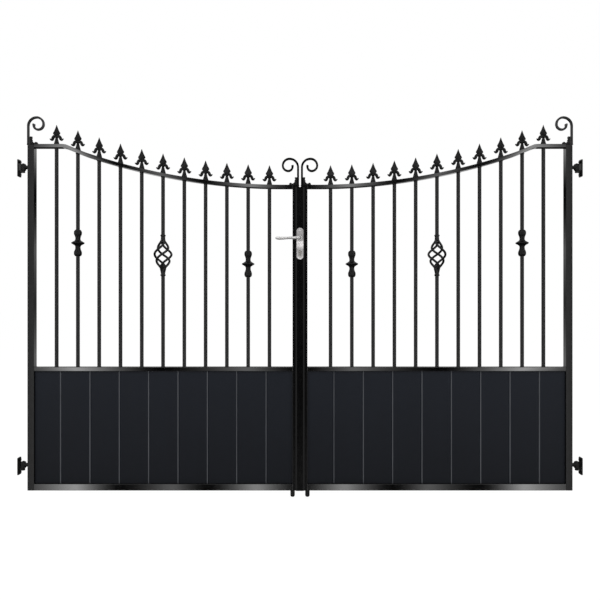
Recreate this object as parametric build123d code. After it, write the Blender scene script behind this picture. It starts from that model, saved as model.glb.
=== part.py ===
from build123d import *
import os
from math import cos, pi, sin, sqrt

# A pair of wrought iron driveway gates with boarded lower panels, all sizes in millimetres.
# Building frame: X = 0 on the line where the leaves meet, Y = 0 on the front face of the leaves
# with +Y towards the drive, Z = 0 on the underside of the leaves. One leaf is drawn on the +X
# side and the other is its mirror image. The finished pieces are moved so that the origin lies
# on the back of the lower left hook plate, where it is bolted to its post.

# Leaf frame
leaf_width = 1327.0
leaf_gap = 9.0
section_width = 32.0
section_depth = 32.0
section_wall = 2.5
stile_cap = 4.0
hinge_stile_height = 1691.0
rail_drop = 199.5
mid_rail_height = 20.0
mid_rail_wall = 2.0
mid_rail_top = 603.0

# Curved top rail, a flat bar: level shoulder at the hinge side, then one arc that runs out level
top_rail_thickness = 12.0
shoulder_length = 136.0
arc_end_from_centre = 80.0

# Round bars, and the ornaments on them
bar_count = 11
bar_diameter = 18.0
outer_bar_from_stile = 104.5
inner_bar_from_stile = 113.5
ornament_bore_clearance = 0.3

# Collars, on the second bar from each end
outer_collar_height = 1210.5
inner_collar_height = 1107.5
collar_half_height = 63.0
collar_lip_radius = 12.5
collar_knob_radius = 17.5
collar_knob_from_end = 10.0
collar_neck_radius = 11.8
collar_neck_from_middle = 26.0
collar_disc_radius = 29.5
collar_disc_edge = 5.0

# Basket, on the middle bar
basket_height = 1150.0
basket_length = 180.0
basket_wire_count = 4
basket_wire_diameter = 10.5
basket_wire_sides = 6
basket_steps = 18
basket_outer_radius = 45.8
basket_swell_power = 1.45
basket_bundle_radius = 5.1
boss_radius = 9.6
boss_bead_radius = 13.0
boss_bead_height = 9.0
boss_length = 24.0

# Spear finials, one on the rail above each bar
finial_height = 100.0
spear_widest_height = 60.0
spear_neck_height = 45.0
spear_width = 35.0
spear_depth = 19.0
spear_neck_width = 9.0
spear_neck_depth = 9.0
spear_point = 1.0
finial_foot_radius = 14.5
finial_foot_top_radius = 4.2
finial_foot_height = 47.0
curl_thickness = 11.0
curl_reach = 34.0
curl_root_height = 37.0
curl_height = 13.0
curl_drop = 17.0
foot_sides = 12

# Scrolls of square bar, and the cast corner leaves at their feet
scroll_bar_size = 10.0
scroll_setback = 1.0
scroll_rise = 95.0
scroll_first_radius = 42.5
scroll_tightening = 0.8
scroll_quarters = 4
leaf_length = 39.0
leaf_height = 39.0
leaf_thickness = 10.0

# Boarded panel
panel_thickness = 10.0
board_width = 144.0
groove_width = 9.0
groove_depth = 3.5

# Hinges: eyes on the leaf, hooks on the post
hinge_axis_from_stile = 26.5
hinge_heights = (121.5, 1582.0)
eye_diameter = 24.0
eye_height = 32.0
eye_chamfer = 2.0
eye_neck_diameter = 14.0
hook_pin_diameter = 12.0
hook_pin_clearance = 0.3
hook_pin_proud = 3.0
hook_pin_chamfer = 1.5
hook_seat_gap = 0.3
hook_lug_width = 16.0
hook_lug_height = 10.0
hook_axis_from_plate = 18.0
plate_thickness = 5.0
plate_width = 32.0
plate_height = 84.0
plate_corner = 4.0
plate_drop = 5.0
plate_hole_diameter = 9.0
plate_hole_spacing = 62.0

# Cover strip on the left leaf, over the gap between the leaves
strip_width = 44.0
strip_thickness = 5.0
strip_bevel_width = 7.0
strip_bevel_depth = 3.0
strip_relief = 0.3
strip_top_below_stile = 9.5

# Lever handle, its back plate and the lock cylinder, on the cover strip
handle_height = 1231.0
handle_plate_width = 34.0
handle_plate_height = 154.0
handle_plate_thickness = 8.0
handle_plate_edge = 2.0
handle_plate_top_above_spindle = 51.0
cylinder_below_spindle = 67.0
cylinder_diameter = 17.0
cylinder_height = 33.0
cylinder_stem_width = 10.0
cylinder_clearance = 0.3
cylinder_proud = 1.5
key_slot_width = 2.2
key_slot_height = 8.5
key_slot_depth = 3.0
spindle_diameter = 7.0
spindle_length = 18.0
spindle_clearance = 0.3
lever_hub_diameter = 19.0
lever_hub_length = 12.0
lever_hub_gap = 0.3
lever_neck_diameter = 13.0
lever_reach = 42.0
lever_grip_length = 118.0
lever_bend_radius = 12.0
lever_hub_chamfer = 2.0
# Along the grip: share of its length from the spindle, then the section's height and depth
lever_grip_stations = (
    (0.3, lever_neck_diameter, lever_neck_diameter),
    (0.45, 11.5, 14.5),
    (0.6, 11.5, 16.0),
    (0.75, 12.5, 17.0),
    (0.88, 13.5, 15.0),
    (0.97, 10.5, 12.0),
    (1.0, 6.0, 7.0),
)

# Drop bolts behind the meeting stiles
bolt_diameter = 22.0
bolt_from_centre = 36.8
bolt_tip_below_leaf = 46.7
bolt_tip_rounding = 8.0
bolt_handle_height = 505.0
bolt_handle_length = 84.0
bolt_bend_radius = 26.0
bolt_collar_diameter = 34.0
bolt_collar_height = 10.0
bolt_clearance = 0.5
bolt_seat_gap = 0.3
guide_wall = 4.5
guide_plate_thickness = 4.0
guide_plate_width = 52.0
guide_height = 26.0
lower_guide_height = 16.0
upper_guide_height = 400.0

# Worked out from the sizes above
meeting_face = leaf_gap / 2
hinge_face = meeting_face + leaf_width
meeting_inner = meeting_face + section_width
hinge_inner = hinge_face - section_width
meeting_stile_height = hinge_stile_height - rail_drop
middle_depth = section_depth / 2
hinge_axis = hinge_face + hinge_axis_from_stile
post_face = hinge_axis + hook_axis_from_plate + plate_thickness
shoulder_end = hinge_inner - shoulder_length
arc_run = shoulder_end - arc_end_from_centre
arc_radius = (arc_run**2 + rail_drop**2) / (2 * rail_drop)
arc_centre_height = meeting_stile_height + arc_radius
mid_rail_underside = mid_rail_top - mid_rail_height
first_bar = meeting_inner + inner_bar_from_stile
bar_pitch = (hinge_inner - outer_bar_from_stile - first_bar) / (bar_count - 1)
bar_positions = [first_bar + i * bar_pitch for i in range(bar_count)]
basket_bar = bar_count // 2
collar_places = ((1, inner_collar_height), (bar_count - 2, outer_collar_height))
bar_radius = bar_diameter / 2
ORIGIN = Vector(-post_face, middle_depth, hinge_heights[0] - plate_drop)


def block(x0, x1, y0, y1, z0, z1):
    """A box between two corners."""
    size = Box(x1 - x0, y1 - y0, z1 - z0)
    return Pos((x0 + x1) / 2, (y0 + y1) / 2, (z0 + z1) / 2) * size


def rail_height(x, below=0.0):
    """Height of the top rail's upper face at x, or of a line that far below it."""
    run = abs(x) - arc_end_from_centre
    if run <= 0:
        return meeting_stile_height - below
    radius = arc_radius + below
    on_arc = arc_centre_height - sqrt(radius**2 - run**2)
    return min(on_arc, hinge_stile_height - below)


def rail_region(below, far_height):
    """Face in the XZ plane from a line that follows the top rail to a level far height."""
    radius = arc_radius + below
    level = hinge_stile_height - below
    low = meeting_stile_height - below
    start = arc_end_from_centre + sqrt(radius**2 - (arc_centre_height - level) ** 2)
    half_run = (start - arc_end_from_centre) / 2
    middle = (arc_end_from_centre + half_run, arc_centre_height - sqrt(radius**2 - half_run**2))
    edges = Curve() + [
        Line((meeting_inner, low), (arc_end_from_centre, low)),
        ThreePointArc((arc_end_from_centre, low), middle, (start, level)),
        Line((start, level), (hinge_inner, level)),
        Line((hinge_inner, level), (hinge_inner, far_height)),
        Line((hinge_inner, far_height), (meeting_inner, far_height)),
        Line((meeting_inner, far_height), (meeting_inner, low)),
    ]
    return make_face(edges)


def through_leaf(face, thickness, centre=middle_depth):
    """Turns a face drawn in X and Z into a solid centred at a depth in the leaf."""
    upright = Pos(0, centre + thickness / 2, 0) * Rot(90, 0, 0) * face
    return extrude(upright, amount=thickness, dir=(0, -1, 0))


def above_rail_underside():
    """Everything from the top rail's underside upwards."""
    return through_leaf(rail_region(top_rail_thickness, hinge_stile_height * 2), section_depth * 3)


def below_rail_top():
    """Everything from the top rail's upper face downwards."""
    return through_leaf(rail_region(0, 0), section_depth * 3)


def stile(x0, height):
    """An upright of box section with a welded cap, open at the foot to drain."""
    outside = block(x0, x0 + section_width, 0, section_depth, 0, height)
    inner_x = (x0 + section_wall, x0 + section_width - section_wall)
    hollow = block(*inner_x, section_wall, section_depth - section_wall, -1, height - stile_cap)
    return outside - hollow


def hinge_stile():
    return stile(hinge_inner, hinge_stile_height)


def meeting_stile():
    return stile(meeting_face, meeting_stile_height)


def bottom_rail():
    outside = block(meeting_inner, hinge_inner, 0, section_depth, 0, section_width)
    inner_depth = (section_wall, section_depth - section_wall)
    hollow = block(
        meeting_inner, hinge_inner, *inner_depth, section_wall, section_width - section_wall
    )
    return outside - hollow


def mid_rail():
    outside = block(
        meeting_inner, hinge_inner, 0, section_depth, mid_rail_underside, mid_rail_top
    )
    hollow = block(
        meeting_inner,
        hinge_inner,
        mid_rail_wall,
        section_depth - mid_rail_wall,
        mid_rail_underside + mid_rail_wall,
        mid_rail_top - mid_rail_wall,
    )
    return outside - hollow


def top_rail():
    upper = rail_region(0, hinge_stile_height * 2)
    lower = rail_region(top_rail_thickness, hinge_stile_height * 2)
    return through_leaf(lower - upper, section_depth)


def panel():
    """Boards with a V groove at each joint, on both faces, from edge to edge of the frame."""
    front = middle_depth - panel_thickness / 2
    back = middle_depth + panel_thickness / 2
    opening = hinge_inner - meeting_inner
    inner_boards = int(opening // board_width) - 1
    end_board = (opening - inner_boards * board_width) / 2
    joints = [meeting_inner + end_board + i * board_width for i in range(inner_boards + 1)]
    half = groove_width / 2
    outline = [(meeting_inner, front)]
    for x in joints:
        outline += [(x - half, front), (x, front + groove_depth), (x + half, front)]
    outline += [(hinge_inner, front), (hinge_inner, back)]
    for x in reversed(joints):
        outline += [(x + half, back), (x, back - groove_depth), (x - half, back)]
    outline += [(meeting_inner, back)]
    section = Pos(0, 0, section_width) * make_face(Polyline(*outline, close=True))
    return extrude(section, amount=mid_rail_underside - section_width)


def round_bar(x):
    """One bar, standing on the mid rail and cut to the curve of the top rail."""
    top = rail_height(x) + top_rail_thickness
    length = top - mid_rail_top
    bar = Pos(x, middle_depth, mid_rail_top + length / 2) * Cylinder(bar_radius, length)
    return bar - above_rail_underside()


def plain_bars():
    return [round_bar(x) for i, x in enumerate(bar_positions) if i != basket_bar]


def collar(x, height):
    """A turned knuckle: a knob at each end, two necks and a sharp disc in the middle."""
    knob = collar_half_height - collar_knob_from_end
    shoulder = (knob + collar_neck_from_middle) / 2
    flare = collar_neck_from_middle / 2
    bore = bar_radius + ornament_bore_clearance
    upper = [
        (collar_disc_radius, collar_disc_edge / 2),
        ((collar_disc_radius + collar_neck_radius) / 2 - 1, flare - 2),
        (collar_neck_radius + 1, collar_neck_from_middle - 5),
        (collar_neck_radius, collar_neck_from_middle),
        (collar_neck_radius + 2, shoulder),
        (collar_knob_radius, knob),
        (collar_knob_radius - 1, knob + collar_knob_from_end / 2),
        (collar_lip_radius, collar_half_height),
        (bore, collar_half_height),
    ]
    lower = [(radius, -z) for radius, z in reversed(upper)]
    profile = make_face(Polyline(*lower, *upper, close=True))
    turned = revolve(Rot(90, 0, 0) * profile, Axis.Z)
    return Pos(x, middle_depth, height) * turned


def collars():
    return [collar(bar_positions[i], height) for i, height in collar_places]


def basket_point(share, start):
    """Centre of one basket wire at a share of its height: it swells out and makes one turn."""
    widest = basket_outer_radius - basket_wire_diameter / 2
    swell = max(sin(pi * share), 0) ** basket_swell_power
    radius = basket_bundle_radius + (widest - basket_bundle_radius) * swell
    angle = start - 2 * pi * share
    return Vector(radius * cos(angle), radius * sin(angle), (share - 0.5) * basket_length)


def basket_wire(start):
    """A wire of few sides, lofted through sections square to its own path."""
    sections = []
    nudge = 0.5 / basket_steps
    for i in range(basket_steps + 1):
        share = i / basket_steps
        ahead = basket_point(min(share + nudge, 1), start)
        along = ahead - basket_point(max(share - nudge, 0), start)
        centre = basket_point(share, start)
        across = Vector(centre.X, centre.Y, 0)
        plane = Plane(origin=centre, x_dir=across, z_dir=along)
        sections.append(plane * RegularPolygon(basket_wire_diameter / 2, basket_wire_sides))
    return loft(sections, ruled=True)


def basket_boss(height, outward):
    """The cast end of a basket, with a bead, that joins the wires to the bar."""
    inner_end = height - outward * boss_length / 2
    body = Pos(0, 0, height) * Cylinder(boss_radius, boss_length)
    bead = Cylinder(boss_bead_radius, boss_bead_height)
    bead = chamfer(bead.edges().filter_by(GeomType.CIRCLE), boss_bead_height / 3)
    bead = Pos(0, 0, height + outward * (boss_length - boss_bead_height) / 2) * bead
    taper = Pos(0, 0, inner_end) * Cylinder(boss_radius, boss_radius / 2)
    return body + bead + taper


def basket_picket():
    """The middle bar of a leaf with its twisted basket, welded up as one piece."""
    x = bar_positions[basket_bar]
    half = basket_length / 2
    foot = mid_rail_top - basket_height
    head = rail_height(x) + top_rail_thickness - basket_height
    picket = Pos(0, 0, (foot - half) / 2) * Cylinder(bar_radius, -half - foot)
    picket += Pos(0, 0, (head + half) / 2) * Cylinder(bar_radius, head - half)
    picket += basket_boss(half, 1) + basket_boss(-half, -1)
    for i in range(basket_wire_count):
        picket += basket_wire(2 * pi * i / basket_wire_count)
    return Pos(x, middle_depth, basket_height) * picket - above_rail_underside()


def finial_curl():
    """Half of the finial's pair of curls, drawn in X and Z above the rail."""
    shares = [
        (0.06, 0.8, 1),
        (0.22, 1.0, 1),
        (0.42, 0.95, 1),
        (0.57, 0.6, 1),
        (0.63, 0.0, 1),
        (0.68, -0.3, -1),
        (0.8, -0.38, -1),
        (1.0, -0.2, -1),
        (0.9, -0.75, -1),
        (0.74, -1.0, -1),
        (0.54, -0.95, -1),
        (0.4, -0.62, -1),
        (0.33, -0.2, -1),
        (0.24, 0.12, 1),
        (0.06, 0.0, 1),
    ]
    points = []
    for along, rise, part in shares:
        height = curl_height if part > 0 else curl_drop
        points.append((curl_reach * along, curl_root_height + height * rise))
    return make_face(Polyline(*points, close=True))


def diamond(width, depth, height):
    """A four-pointed section of a spear, level at a height."""
    points = [(width / 2, 0), (0, depth / 2), (-width / 2, 0), (0, -depth / 2)]
    return Pos(0, 0, height) * make_face(Polyline(*points, close=True))


def finial_shape():
    """A cast spear on a flared foot, with a curl at each side; z = 0 is the rail's upper face."""
    spear = loft(
        [
            diamond(spear_neck_width, spear_neck_depth, spear_neck_height),
            diamond(spear_width, spear_depth, spear_widest_height),
            diamond(spear_point, spear_point, finial_height),
        ],
        ruled=True,
    )
    spread = top_rail_thickness
    foot_radius = finial_foot_radius + spread / 4
    foot_base = Pos(0, 0, -spread) * RegularPolygon(foot_radius, foot_sides)
    foot_top = Pos(0, 0, finial_foot_height) * RegularPolygon(finial_foot_top_radius, foot_sides)
    foot = loft([foot_base, foot_top], ruled=True)
    curl = through_leaf(finial_curl(), curl_thickness, 0)
    return spear + foot + curl + mirror(curl, about=Plane.YZ)


def finials():
    """One finial above each bar, its foot cut to the slope of the rail."""
    shape = finial_shape()
    rail = below_rail_top()
    return [Pos(x, middle_depth, rail_height(x)) * shape - rail for x in bar_positions]


def scroll(outer_x, base_height, side):
    """A bar that rises from a stile and curls over in quarter turns that tighten."""
    radius = scroll_first_radius
    x = outer_x + side * scroll_bar_size / 2
    z = base_height + scroll_rise
    path = [Line((x, base_height), (x, z))]
    centre_x = x + side * radius
    centre_z = z
    turn = 0
    for _ in range(scroll_quarters):
        ends = []
        for share in (0, 0.5, 1):
            angle = pi - (turn + share * pi / 2)
            ends.append((centre_x + side * radius * cos(angle), centre_z + radius * sin(angle)))
        path.append(ThreePointArc(*ends))
        next_radius = radius * scroll_tightening
        away = pi - (turn + pi / 2)
        centre_x += side * (radius - next_radius) * cos(away)
        centre_z += (radius - next_radius) * sin(away)
        turn += pi / 2
        radius = next_radius
    depth = scroll_setback + scroll_bar_size / 2
    upright = Pos(0, depth, 0) * Rot(90, 0, 0) * Wire(path)
    section = Pos(x, depth, base_height) * Rectangle(scroll_bar_size, scroll_bar_size)
    return sweep(section, path=upright)


def scrolls():
    """The outer scroll curls in over the leaf, the inner one away from the other leaf."""
    outer = scroll(hinge_face, hinge_stile_height, -1)
    inner = scroll(meeting_face, meeting_stile_height, 1)
    return [outer, inner]


def corner_leaf(stem_x, rail_top, side):
    """A cast leaf in the corner between a scroll's stem and the rail."""
    tip = (leaf_length * 0.87, leaf_height * 0.31)
    hollow = (leaf_length * 0.36, leaf_height * 0.62)
    top = (leaf_length * 0.4, leaf_height)
    outline = Curve() + [
        Line((0, 0), (leaf_length, 0)),
        ThreePointArc((leaf_length, 0), (leaf_length * 0.99, leaf_height * 0.2), tip),
        ThreePointArc(tip, (leaf_length * 0.52, leaf_height * 0.33), hollow),
        ThreePointArc(hollow, (leaf_length * 0.3, leaf_height * 0.82), top),
        Line(top, (0, leaf_height)),
        Line((0, leaf_height), (0, 0)),
    ]
    shape = through_leaf(make_face(outline), leaf_thickness, 0)
    if side < 0:
        shape = mirror(shape, about=Plane.YZ)
    depth = scroll_setback + scroll_bar_size / 2
    return Pos(stem_x, depth, rail_top) * shape


def corner_leaves():
    outer_stem = hinge_face - scroll_bar_size
    inner_stem = meeting_face + scroll_bar_size
    return [
        corner_leaf(outer_stem, hinge_stile_height, -1),
        corner_leaf(inner_stem, meeting_stile_height, 1),
    ]


def hinge_eye(height):
    """An eye with an upright bore, and its neck welded to the outer face of the stile."""
    ring = Cylinder(eye_diameter / 2, eye_height)
    ring = chamfer(ring.edges().filter_by(GeomType.CIRCLE), eye_chamfer)
    neck_length = hinge_axis_from_stile - eye_diameter / 4
    neck = Pos(-hinge_axis_from_stile + neck_length / 2, 0, 0) * Rot(0, 90, 0) * Cone(
        eye_neck_diameter / 2, eye_diameter / 2, neck_length
    )
    bore = Cylinder(hook_pin_diameter / 2 + hook_pin_clearance, eye_height * 2)
    return Pos(hinge_axis, middle_depth, height) * (ring + neck - bore)


def hinge_eyes():
    return [hinge_eye(z) for z in hinge_heights]


def hook(height):
    """A plate for the post, with a lug under the eye and a pin up through it."""
    seat = height - eye_height / 2 - hook_seat_gap
    plate_middle = height - plate_drop
    inner_face = hinge_axis + hook_axis_from_plate
    plate = Pos(inner_face + plate_thickness / 2, middle_depth, plate_middle) * Box(
        plate_thickness, plate_width, plate_height
    )
    plate = fillet(plate.edges().filter_by(Axis.X), plate_corner)
    hole = Rot(0, 90, 0) * Cylinder(plate_hole_diameter / 2, plate_thickness * 4)
    for side in (-1, 1):
        plate -= Pos(inner_face, middle_depth, plate_middle + side * plate_hole_spacing / 2) * hole
    half = hook_lug_width / 2
    lug_depth = (middle_depth - half, middle_depth + half)
    lug = block(hinge_axis, inner_face, *lug_depth, seat - hook_lug_height, seat)
    lug_middle = seat - hook_lug_height / 2
    lug += Pos(hinge_axis, middle_depth, lug_middle) * Cylinder(half, hook_lug_height)
    pin_length = eye_height + hook_seat_gap + hook_pin_proud
    pin = Cylinder(hook_pin_diameter / 2, pin_length)
    pin = chamfer(pin.edges().filter_by(GeomType.CIRCLE).sort_by(Axis.Z)[-1], hook_pin_chamfer)
    pin = Pos(hinge_axis, middle_depth, seat + pin_length / 2) * pin
    return plate + lug + pin


def hooks():
    return [hook(z) for z in hinge_heights]


def cover_strip():
    """A bevelled flat on the left leaf's stile, clear of the right leaf's by a small relief."""
    half = strip_width / 2
    bevel = half - strip_bevel_width
    outline = [
        (-half, 0),
        (0, 0),
        (0, -strip_relief),
        (half, -strip_relief),
        (half, -strip_thickness + strip_bevel_depth),
        (bevel, -strip_thickness),
        (-bevel, -strip_thickness),
        (-half, -strip_thickness + strip_bevel_depth),
    ]
    top = meeting_stile_height - strip_top_below_stile
    strip = extrude(make_face(Polyline(*outline, close=True)), amount=top)
    hole_radius = spindle_diameter / 2 + spindle_clearance
    hole = Rot(90, 0, 0) * Cylinder(hole_radius, strip_thickness * 4)
    return strip - Pos(0, 0, handle_height) * hole


def cylinder_profile(spread):
    """The outline of the lock cylinder in X and Z, round above and narrow below."""
    radius = cylinder_diameter / 2
    foot_radius = cylinder_stem_width / 2
    drop = cylinder_height - radius - foot_radius
    stem = Pos(0, -drop / 2) * Rectangle(cylinder_stem_width + 2 * spread, drop)
    return Circle(radius + spread) + stem + Pos(0, -drop) * Circle(foot_radius + spread)


def on_strip(face, from_front, thickness):
    """Extrudes a face drawn in X and Z forward from a distance in front of the cover strip."""
    back = -strip_thickness - from_front
    return extrude(Pos(0, back, 0) * Rot(90, 0, 0) * face, amount=thickness, dir=(0, -1, 0))


def handle_plate():
    """The long back plate, with holes for the lever's spindle and the lock cylinder."""
    middle = handle_height + handle_plate_top_above_spindle - handle_plate_height / 2
    outline = Pos(0, middle) * SlotOverall(handle_plate_height, handle_plate_width, rotation=90)
    plate = on_strip(outline, 0, handle_plate_thickness)
    plate = chamfer(plate.faces().sort_by(Axis.Y)[0].edges(), handle_plate_edge)
    through = handle_plate_thickness * 2
    spindle_hole = Pos(0, handle_height) * Circle(spindle_diameter / 2 + spindle_clearance)
    eye = Pos(0, handle_height - cylinder_below_spindle) * cylinder_profile(cylinder_clearance)
    return plate - on_strip(spindle_hole, -1, through) - on_strip(eye, -1, through)


def lock_cylinder():
    """The cylinder's front end, seated on the strip and standing a little proud of the plate."""
    place = Pos(0, handle_height - cylinder_below_spindle)
    length = handle_plate_thickness + cylinder_proud
    body = on_strip(place * cylinder_profile(0), 0, length)
    slot = place * Rectangle(key_slot_width, key_slot_height)
    return body - on_strip(slot, length - key_slot_depth, key_slot_depth * 2)


def lever():
    """Spindle, hub and neck straight out from the plate, then a grip bent to the left."""
    plate_front = -strip_thickness - handle_plate_thickness
    hub_back = plate_front - lever_hub_gap
    grip_depth = plate_front - lever_reach
    facing = Rot(90, 0, 0)
    spindle = Cylinder(spindle_diameter / 2, spindle_length)
    spindle = Pos(0, hub_back + spindle_length / 2, 0) * facing * spindle
    hub = Cylinder(lever_hub_diameter / 2, lever_hub_length)
    hub = Pos(0, hub_back - lever_hub_length / 2, 0) * facing * hub
    hub = chamfer(hub.faces().sort_by(Axis.Y)[0].edges(), lever_hub_chamfer)
    root = (0, hub_back - 1, 0)
    corner = (0, grip_depth, 0)
    grip_start = (-lever_grip_length * lever_grip_stations[0][0], grip_depth, 0)
    path = FilletPolyline(root, corner, grip_start, radius=lever_bend_radius)
    section = Plane(origin=root, z_dir=(0, -1, 0)) * Circle(lever_neck_diameter / 2)
    neck = sweep(section, path=path)
    sections = []
    for share, tall, deep in lever_grip_stations:
        centre = (-lever_grip_length * share, grip_depth, 0)
        plane = Plane(origin=centre, x_dir=(0, 1, 0), z_dir=(-1, 0, 0))
        sections.append(plane * Ellipse(deep / 2, tall / 2))
    grip = loft(sections, ruled=True)
    return Pos(0, 0, handle_height) * (spindle + hub + neck + grip)


def bolt_depth():
    """Depth of a drop bolt's axis, so that its guides lie against the back of the leaf."""
    return section_depth + guide_plate_thickness + bolt_diameter / 2 + bolt_clearance + guide_wall


def bolt_guide(height):
    """A sleeve on a plate, welded to the back of the meeting stile."""
    radius = bolt_diameter / 2 + bolt_clearance
    outer = radius + guide_wall
    plate = Pos(bolt_from_centre, section_depth + guide_plate_thickness / 2, height) * Box(
        guide_plate_width, guide_plate_thickness, guide_height
    )
    sleeve = Pos(bolt_from_centre, bolt_depth(), height) * Cylinder(outer, guide_height)
    saddle = block(
        bolt_from_centre - outer,
        bolt_from_centre + outer,
        section_depth + guide_plate_thickness,
        bolt_depth(),
        height - guide_height / 2,
        height + guide_height / 2,
    )
    bore = Pos(bolt_from_centre, bolt_depth(), height) * Cylinder(radius, guide_height * 2)
    return plate + sleeve + saddle - bore


def bolt_guides():
    return [bolt_guide(lower_guide_height), bolt_guide(upper_guide_height)]


def drop_bolt():
    """A round bolt with a rounded tip, a stop collar and its top bent over for a handle."""
    tip = -bolt_tip_below_leaf
    corner = (0, 0, bolt_handle_height)
    end = (bolt_handle_length, 0, bolt_handle_height)
    path = FilletPolyline((0, 0, tip), corner, end, radius=bolt_bend_radius)
    bolt = sweep(Pos(0, 0, tip) * Circle(bolt_diameter / 2), path=path)
    lowest = bolt.edges().filter_by(GeomType.CIRCLE).sort_by(Axis.Z)[0]
    bolt = fillet(lowest, bolt_tip_rounding)
    collar_base = lower_guide_height + guide_height / 2 + bolt_seat_gap
    stop = Cylinder(bolt_collar_diameter / 2, bolt_collar_height)
    bolt += Pos(0, 0, collar_base + bolt_collar_height / 2) * stop
    return Pos(bolt_from_centre, bolt_depth(), 0) * bolt


def save(name, pieces, left=False):
    """Writes one node, mirrored for the left leaf, in the frame of the finished object."""
    if not isinstance(pieces, list):
        pieces = [pieces]
    solids = []
    for piece in pieces:
        placed = mirror(piece, about=Plane.YZ) if left else piece
        solids += (Pos(-ORIGIN.X, -ORIGIN.Y, -ORIGIN.Z) * placed).solids()
    node = solids[0] if len(solids) == 1 else Compound(children=solids)
    export_step(node, "parts/" + name + ".step")


def main():
    os.makedirs("parts", exist_ok=True)
    both_sides = {
        "hooks": hooks,
        "hinge_stile": hinge_stile,
        "meeting_stile": meeting_stile,
        "bottom_rail": bottom_rail,
        "mid_rail": mid_rail,
        "top_rail": top_rail,
        "boarded_panel": panel,
        "bars": plain_bars,
        "basket_bar": basket_picket,
        "collars": collars,
        "finials": finials,
        "scrolls": scrolls,
        "corner_leaves": corner_leaves,
        "hinge_eyes": hinge_eyes,
        "bolt_guides": bolt_guides,
        "drop_bolt": drop_bolt,
    }
    for name, make in both_sides.items():
        pieces = make()
        save("left_" + name, pieces, left=True)
        save("right_" + name, pieces)
    save("cover_strip", cover_strip())
    save("handle_plate", handle_plate())
    save("lock_cylinder", lock_cylinder())
    save("lever_handle", lever())


main()
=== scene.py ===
import math

import bmesh
import bpy
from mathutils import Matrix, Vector


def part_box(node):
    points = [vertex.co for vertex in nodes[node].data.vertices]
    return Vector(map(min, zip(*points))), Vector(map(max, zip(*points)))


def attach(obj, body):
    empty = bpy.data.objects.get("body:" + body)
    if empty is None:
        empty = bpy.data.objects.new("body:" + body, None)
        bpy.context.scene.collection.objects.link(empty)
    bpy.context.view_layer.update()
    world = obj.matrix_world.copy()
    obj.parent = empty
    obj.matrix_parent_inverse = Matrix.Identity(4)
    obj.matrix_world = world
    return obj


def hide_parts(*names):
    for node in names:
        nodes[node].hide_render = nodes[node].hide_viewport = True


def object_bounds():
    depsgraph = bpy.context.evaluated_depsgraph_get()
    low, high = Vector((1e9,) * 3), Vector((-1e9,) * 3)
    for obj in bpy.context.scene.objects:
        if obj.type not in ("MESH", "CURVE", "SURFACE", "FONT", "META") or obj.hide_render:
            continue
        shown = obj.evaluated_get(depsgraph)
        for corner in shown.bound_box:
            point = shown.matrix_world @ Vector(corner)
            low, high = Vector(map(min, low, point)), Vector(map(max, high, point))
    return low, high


# The gate is dressed in its own drawing frame, in millimetres: X = 0 where the leaves meet,
# Y = 0 on the front face of the leaves, Z = 0 on their underside. at() turns that into the
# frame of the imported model, in metres. Each leaf is written once, for the +X side.

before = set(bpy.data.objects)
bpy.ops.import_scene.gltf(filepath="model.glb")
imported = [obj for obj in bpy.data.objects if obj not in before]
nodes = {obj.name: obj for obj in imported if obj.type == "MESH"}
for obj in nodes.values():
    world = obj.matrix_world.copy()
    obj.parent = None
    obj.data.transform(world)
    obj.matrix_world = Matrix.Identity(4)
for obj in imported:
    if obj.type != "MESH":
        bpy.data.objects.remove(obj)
cad_low, cad_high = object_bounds()
SIDES = (("left", -1), ("right", 1))
ORIGIN = Vector((-1381.0, 16.0, 116.5))
X, Y, Z = 0, 1, 2


def drawn(node_name, axis):
    """A node's lowest and highest place along an axis of the drawing frame."""
    low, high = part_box(node_name)
    return [(Vector(corner) * 1000.0 + ORIGIN)[axis] for corner in (low, high)]


# Stiles and rails of a leaf
MEETING_OUTER, MEETING_INNER = drawn("right_meeting_stile", X)
HINGE_INNER, HINGE_OUTER = drawn("right_hinge_stile", X)
LEAF_FRONT, LEAF_BACK = drawn("right_hinge_stile", Y)
BOTTOM_RAIL_TOP = drawn("right_bottom_rail", Z)[1]
PANEL_FOOT, PANEL_TOP = drawn("right_boarded_panel", Z)
MID_RAIL_FOOT, MID_RAIL_TOP = drawn("right_mid_rail", Z)

# Bars, on the leaf's middle plane
MIDDLE = (LEAF_FRONT + LEAF_BACK) / 2
BARS_FRONT, BARS_BACK = drawn("right_bars", Y)
BAR_RADIUS = (BARS_BACK - BARS_FRONT) / 2
FIRST_BAR, BAR_PITCH = 150.0, 104.5
BARS = [FIRST_BAR + BAR_PITCH * i for i in range(11)]

# Top rail: level to RAIL_FLAT_END, then one arc up to the shoulder, then level again
RAIL_FLAT_END = 80.0
SHOULDER_END = 1163.5
RAIL_DEPTH = 12.0
LOW_TOP = drawn("right_meeting_stile", Z)[1]
HIGH_TOP = drawn("right_hinge_stile", Z)[1]
RAIL_RUN = SHOULDER_END - RAIL_FLAT_END
RAIL_DROP = HIGH_TOP - LOW_TOP
RAIL_RADIUS = (RAIL_RUN * RAIL_RUN + RAIL_DROP * RAIL_DROP) / (2 * RAIL_DROP)

# Handle, on the left leaf's cover strip
PLATE_FRONT = drawn("handle_plate", Y)[0]
HANDLE_HEIGHT = 1231.0


def at(x, y, z):
    return (Vector((x, y, z)) - ORIGIN) / 1000.0


def rail_top(x):
    """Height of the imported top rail's upper face above a point of the leaf."""
    out = abs(x) - RAIL_FLAT_END
    if out <= 0:
        return LOW_TOP
    if out >= RAIL_RUN:
        return HIGH_TOP
    return LOW_TOP + RAIL_RADIUS - math.sqrt(RAIL_RADIUS * RAIL_RADIUS - out * out)


def rail_slope(x):
    return (rail_top(x + 1) - rail_top(x - 1)) / 2


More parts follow.
